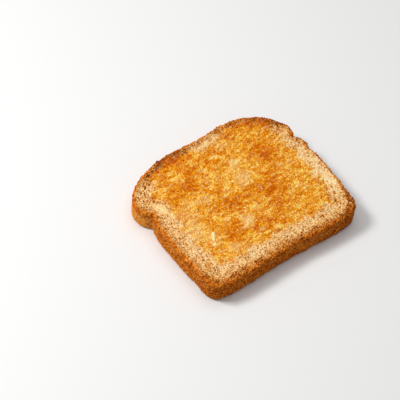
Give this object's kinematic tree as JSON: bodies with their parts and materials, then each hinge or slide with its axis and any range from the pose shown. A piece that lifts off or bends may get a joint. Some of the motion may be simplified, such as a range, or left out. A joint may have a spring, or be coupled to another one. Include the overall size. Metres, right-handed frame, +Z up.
{
  "type": "buttered toast",
  "caption": "A thick slice of tin-loaf wholemeal bread, toasted golden brown, with butter melted into the crumb of its top face.",
  "frame": {"origin": "centre of the slice's box at its underside, which is the cut face it lies on", "axes": "+X across the slice, along its base edge and towards the slice's right side seen from above; +Y from the base edge towards the domed top edge; +Z up out of the buttered face"},
  "size_m": [0.12, 0.1004, 0.016],
  "materials": {
    "toasted_bread": "toasted crumb and crust, matt where dry and glossy where butter has soaked in"
  },
  "bodies": {
    "root": {"toast_slice": "toasted_bread"}
  },
  "joints": []
}
